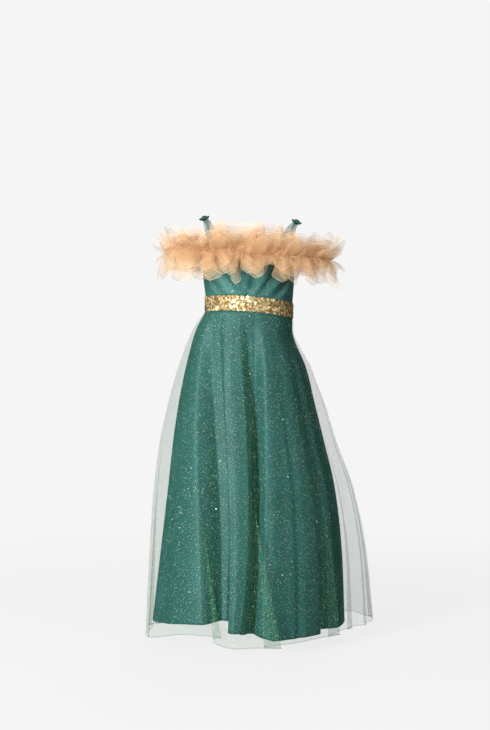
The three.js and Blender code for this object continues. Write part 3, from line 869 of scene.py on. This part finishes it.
def glitter_group(name, seed):
    """Nodes that strew small flat flakes over a cloth, each tilted its own way."""
    tree = bpy.data.node_groups.new(name, "GeometryNodeTree")
    tree.interface.new_socket("Geometry", in_out="INPUT", socket_type="NodeSocketGeometry")
    tree.interface.new_socket("Geometry", in_out="OUTPUT", socket_type="NodeSocketGeometry")
    cloth = add_node(tree, "NodeGroupInput")
    points = add_node(
        tree,
        "GeometryNodeDistributePointsOnFaces",
        {"Density": FLAKES_PER_SQUARE_METRE, "Seed": seed},
        {"Mesh": cloth.outputs["Geometry"]},
    )
    flake = add_node(
        tree,
        "GeometryNodeMeshCircle",
        {"fill_type": "NGON", "Vertices": FLAKE_CORNERS, "Radius": FLAKE_RADIUS * MM},
    )
    raised = add_node(
        tree,
        "GeometryNodeTransform",
        {"Translation": (0, 0, FLAKE_LIFT * MM)},
        {"Geometry": flake.outputs["Mesh"]},
    )
    turns = add_node(
        tree, "FunctionNodeRandomValue", {"data_type": "FLOAT_VECTOR", "Seed": seed + 1}
    )
    turns.inputs["Min"].default_value = (-FLAKE_TILT, -FLAKE_TILT, 0)
    turns.inputs["Max"].default_value = (FLAKE_TILT, FLAKE_TILT, math.tau)
    turned = add_node(
        tree,
        "FunctionNodeRotateRotation",
        {"rotation_space": "LOCAL"},
        {"Rotation": points.outputs["Rotation"], "Rotate By": turns.outputs["Value"]},
    )
    sizes = add_node(tree, "FunctionNodeRandomValue", {"data_type": "FLOAT", "Seed": seed + 2})
    sizes.inputs[2].default_value, sizes.inputs[3].default_value = FLAKE_SIZES
    placed = add_node(
        tree,
        "GeometryNodeInstanceOnPoints",
        links={
            "Points": points.outputs["Points"],
            "Instance": raised.outputs["Geometry"],
            "Rotation": turned.outputs["Rotation"],
            "Scale": sizes.outputs[1],
        },
    )
    real = add_node(
        tree, "GeometryNodeRealizeInstances", links={"Geometry": placed.outputs["Instances"]}
    )
    painted = add_node(
        tree,
        "GeometryNodeSetMaterial",
        {"Material": MATERIALS["glitter"]},
        {"Geometry": real.outputs["Geometry"]},
    )
    add_node(tree, "NodeGroupOutput", links={"Geometry": painted.outputs["Geometry"]})
    return tree


def strew(name, cloth, group):
    """A piece of its own that holds the flakes strewn over a cloth."""
    carrier = bpy.data.objects.new("carrier", cloth.data)
    bpy.context.scene.collection.objects.link(carrier)
    carrier.modifiers.new("flakes", "NODES").node_group = group
    shown = carrier.evaluated_get(bpy.context.evaluated_depsgraph_get())
    mesh = bpy.data.meshes.new_from_object(shown)
    bpy.data.objects.remove(carrier)
    mesh.name = name
    place_piece(name, mesh)


def add_glitter(cloths):
    for number, (node, cloth) in enumerate(cloths.items()):
        group = glitter_group(f"glitter_{node}", number * SEEDS_APART)
        strew(f"{node}_glitter", cloth, group)


RIBBON = 1.2
RIBBON_GRID = (160, 8)
SEQUIN_RADIUS = 2.6
SEQUIN_CORNERS = 8
SEQUIN_ROWS = 8
SEQUINS_ROUND = 132
# How far the discs lie off the middle of the ribbon, and how much further those of every other row.
SEQUIN_LIFT = 1.3
SEQUIN_OVERLAP = 0.2
# They hang a little off the upright, in degrees, and each is turned and set its own way.
SEQUIN_HANG = 9
SEQUIN_NOD = 0.9
SEQUIN_SWIVEL = 0.8
SEQUIN_DRIFT = 0.01
SEQUIN_CHANCE_STEPS = (1.7, 2.3, 5.1)


def sequin_place(across, row, number):
    """Where one disc lies on the ribbon. Every other row is set on by half a disc."""
    odd = row % 2
    angle = lerp(*across, (number + 0.5 * odd + 0.25) / SEQUINS_ROUND)
    by_disc, by_row, by_use = SEQUIN_CHANCE_STEPS
    nod, roll, swivel, drift = (
        noise.noise(Vector((number * by_disc, row * by_row, use * by_use + 0.5)))
        for use in range(4)
    )
    share = (row + 0.5) / SEQUIN_ROWS + SEQUIN_DRIFT * drift
    point = waistband_point(angle, share, SEQUIN_LIFT + SEQUIN_OVERLAP * odd) * MM
    upright = math.radians(90 - SEQUIN_HANG)
    turned = Euler(
        (upright + SEQUIN_NOD * nod, SEQUIN_NOD * roll, angle + SEQUIN_SWIVEL * swivel)
    )
    return Matrix.LocRotScale(point, turned, None)


def add_waistband():
    across = panel_edges(SKIRT_SECTIONS, -180, 180)
    columns, rows = RIBBON_GRID
    ribbon = cloth_piece(
        "waistband_ribbon",
        waistband_point,
        columns,
        even_shares(rows),
        "sequin_tape",
        ["ribbon"],
        ["waistband"],
        across=across,
    )
    thicken(ribbon, RIBBON)
    bm = bmesh.new()
    for row in range(SEQUIN_ROWS):
        for number in range(SEQUINS_ROUND):
            bmesh.ops.create_circle(
                bm,
                cap_ends=True,
                segments=SEQUIN_CORNERS,
                radius=SEQUIN_RADIUS * MM,
                matrix=sequin_place(across, row, number),
            )
    new_piece("waistband_sequins", bm, ["sequin"])


# The nets of the ruffle. All measures are shares of the reach from the gathers to an edge: the cut
# edge's width, the half that is drawn up and darkened with painted shade, and where single net starts
# above, below and at the arms.
FRILL_NETS = ["tan_tulle", "tan_edge", "tan_gathers_and_shade", "tan_single_painted_pale"]
FRILL_EDGE = 0.02
FRILL_DRAWN_UP_AND_SHADED = 0.08
# The single net is sheerer, and it is also painted paler with more painted glow.
SINGLE_ABOVE = 0.92
SINGLE_BELOW = 0.8
SINGLE_AT_ARMS = 0.2
# How far to the side the single net begins to spread towards the gathers, and where it has spread.
ARM_FADE = (0.76, 0.95)
FRILL_COLUMNS = 1400
FRILL_ROWS = 18


def frill_net(way, share):
    """The net that a face of the ruffle shows, as its number in the list."""
    from_line = abs(1 - 2 * share)
    if from_line > 1 - FRILL_EDGE:
        return FRILL_NETS.index("tan_edge")
    # The drawn-up band near the gathers takes the net with painted shade.
    if from_line < FRILL_DRAWN_UP_AND_SHADED:
        return FRILL_NETS.index("tan_gathers_and_shade")
    # Single net, sheerer and painted paler, takes over towards the edges and the arms.
    at_arm = smoothstep(abs(math.sin(loop_angle(way))), *ARM_FADE)
    single_from = lerp(SINGLE_ABOVE if share < 0.5 else SINGLE_BELOW, SINGLE_AT_ARMS, at_arm)
    return FRILL_NETS.index("tan_single_painted_pale" if from_line > single_from else "tan_tulle")


def add_ruffle():
    edge = FRILL_EDGE / 2
    shares = [0, edge] + [i / FRILL_ROWS for i in range(1, FRILL_ROWS)] + [1 - edge, 1]
    strips = [
        ("ruffle_standing_layers", "ruffle_inner", STANDING_LAYERS),
        ("ruffle_puffed_layers", "ruffle_outer", PUFFED_LAYERS),
    ]
    for name, node, layers in strips:
        bm = bmesh.new()
        bm.loops.layers.uv.new("cut")
        for layer in layers:
            lay_grid(
                bm,
                lambda way, share: frill_point(layer, way, share),
                FRILL_COLUMNS,
                shares,
                closed=True,
                paint=frill_net,
            )
        piece = new_piece(name, bm, FRILL_NETS, [node])


STRAP_GRID = (40, 60)


def add_knot(strap):
    """The tied band on top of a strap: a ball with wraps round it, and short loops beside it."""
    bm = bmesh.new()
    bmesh.ops.create_uvsphere(bm, u_segments=48, v_segments=32, radius=1)
    for vertex in bm.verts:
        x, y, z = vertex.co
        groove = math.sin(math.pi * KNOT["wraps"] * x + KNOT["slant"] * y) ** 2
        wrap = 1 - KNOT["dip"] * groove
        vertex.co = Vector((x * KNOT["across"], y * KNOT["along"] * wrap, z * KNOT["up"] * wrap))
    for loop in KNOT_LOOPS:
        place = Matrix.LocRotScale(Vector(loop["at"]), Euler(loop["turn"]), Vector(loop["half"]))
        bmesh.ops.create_uvsphere(bm, u_segments=24, v_segments=16, radius=1, matrix=place)
    above = KNOT["seat"] * KNOT["up"]
    middle = Vector((strap["out"], 0, strap["top"] + above)) * MM
    turned = Euler((0, math.radians(-SHOULDER_SLOPE) * strap["inwards"], 0))
    place = Matrix.LocRotScale(middle, turned, Vector((MM, MM, MM)))
    bmesh.ops.transform(bm, matrix=place, verts=bm.verts)
    node = f"strap_knot_{strap['side']}"
    # The knot's satin is painted darker, as painted shade.
    new_piece(f"{node}_wraps", bm, ["knot_satin_painted_shade"], [node])


def add_straps():
    columns, rows = STRAP_GRID
    for strap in STRAPS:
        node = f"strap_{strap['side']}"
        piece = cloth_piece(
            f"{node}_net",
            lambda across, share: strap_point(strap, across, share),
            columns,
            even_shares(rows),
            "strap_tulle",
            ["strap_tulle"],
            [node],
            across=(-1.0, 1.0),
        )
        add_knot(strap)


# The pale room. Its floor and air look almost white and lend the costume little light of their own.
# Near the hem the floor takes some shadow, which fades out with the distance, in metres.
PALE_TONE = "#F5F5F5"
FLOOR_PAINT = "#F2F2F2"
FLOOR_RADIUS = 30
FLOOR_LIGHT = 0.06
AIR_LIGHT = 0.06
SHADOW_FADE = {"From Min": 0.9, "From Max": 1.6, "To Min": 0.12, "To Max": 0.0}
LAMPS = [
    {"name": "key_light", "at": (-2.05, -2.6, 0.4), "size": 0.9, "power": 160},
    {"name": "fill_light", "at": (2.3, -2.6, 0.7), "size": 1.6, "power": 31},
    {"name": "rim_light", "at": (0.6, 2.6, 1.4), "size": 2.0, "power": 40},
]
LAMPS_AIM = (0, 0, -0.4)


def floor_material():
    """Smooth pale studio card, so evenly lit that it hardly shows where it ends."""
    material, tree = new_material("pale_studio_floor")
    path = add_node(tree, "ShaderNodeLightPath")
    strength = add_node(
        tree,
        "ShaderNodeMapRange",
        {"To Min": FLOOR_LIGHT, "To Max": 1.0},
        {"Value": path.outputs["Is Camera Ray"]},
    )
    glow = add_node(
        tree,
        "ShaderNodeEmission",
        {"Color": linear(PALE_TONE)},
        {"Strength": strength.outputs["Result"]},
    )
    paint = add_node(tree, "ShaderNodeBsdfDiffuse", {"Color": linear(FLOOR_PAINT)})
    place = add_node(tree, "ShaderNodeTexCoord")
    distance = add_node(
        tree, "ShaderNodeVectorMath", {"operation": "LENGTH"}, {"Vector": place.outputs["Object"]}
    )
    fade = add_node(
        tree, "ShaderNodeMapRange", SHADOW_FADE, {"Value": distance.outputs["Value"]}
    )
    mixed = add_node(tree, "ShaderNodeMixShader", links={"Fac": fade.outputs["Result"]})
    tree.links.new(glow.outputs[0], mixed.inputs[1])
    tree.links.new(paint.outputs[0], mixed.inputs[2])
    add_node(tree, "ShaderNodeOutputMaterial", links={"Surface": mixed.outputs[0]})
    return material


def add_floor():
    bm = bmesh.new()
    level = Matrix.Translation((0, 0, CAD_BOX[0][2] - FLOOR_BELOW_HEM))
    bmesh.ops.create_circle(bm, cap_ends=True, segments=96, radius=FLOOR_RADIUS, matrix=level)
    mesh = bpy.data.meshes.new("floor")
    bm.to_mesh(mesh)
    bm.free()
    mesh.materials.append(floor_material())
    floor = bpy.data.objects.new("floor", mesh)
    bpy.context.scene.collection.objects.link(floor)


def add_air():
    world = bpy.data.worlds.new("pale_air")
    world.use_nodes = True
    tree = world.node_tree
    tree.nodes.clear()
    pale = linear(PALE_TONE)
    seen = add_node(tree, "ShaderNodeBackground", {"Color": pale, "Strength": 1.0})
    light = add_node(tree, "ShaderNodeBackground", {"Color": pale, "Strength": AIR_LIGHT})
    path = add_node(tree, "ShaderNodeLightPath")
    mixed = add_node(tree, "ShaderNodeMixShader", links={"Fac": path.outputs["Is Camera Ray"]})
    tree.links.new(light.outputs[0], mixed.inputs[1])
    tree.links.new(seen.outputs[0], mixed.inputs[2])
    add_node(tree, "ShaderNodeOutputWorld", links={"Surface": mixed.outputs[0]})
    bpy.context.scene.world = world


def add_lamps():
    """Soft studio light, strongest from the upper left."""
    for lamp in LAMPS:
        data = bpy.data.lights.new(lamp["name"], "AREA")
        data.shape = "DISK"
        data.size = lamp["size"]
        data.energy = lamp["power"]
        light = bpy.data.objects.new(lamp["name"], data)
        light.location = lamp["at"]
        aim = Vector(LAMPS_AIM) - Vector(lamp["at"])
        light.rotation_euler = aim.to_track_quat("-Z", "Y").to_euler()
        bpy.context.scene.collection.objects.link(light)


bodice = add_bodice()
add_satin_skirts()
overskirts = add_overskirts()
add_glitter({**overskirts, **bodice})
add_waistband()
add_ruffle()
add_straps()
add_floor()
add_air()
add_lamps()

# Many sheer layers lie behind each other, and plain colours keep the pale studio tones.
bpy.context.scene.cycles.transparent_max_bounces = 48
bpy.context.scene.view_settings.view_transform = "Standard"
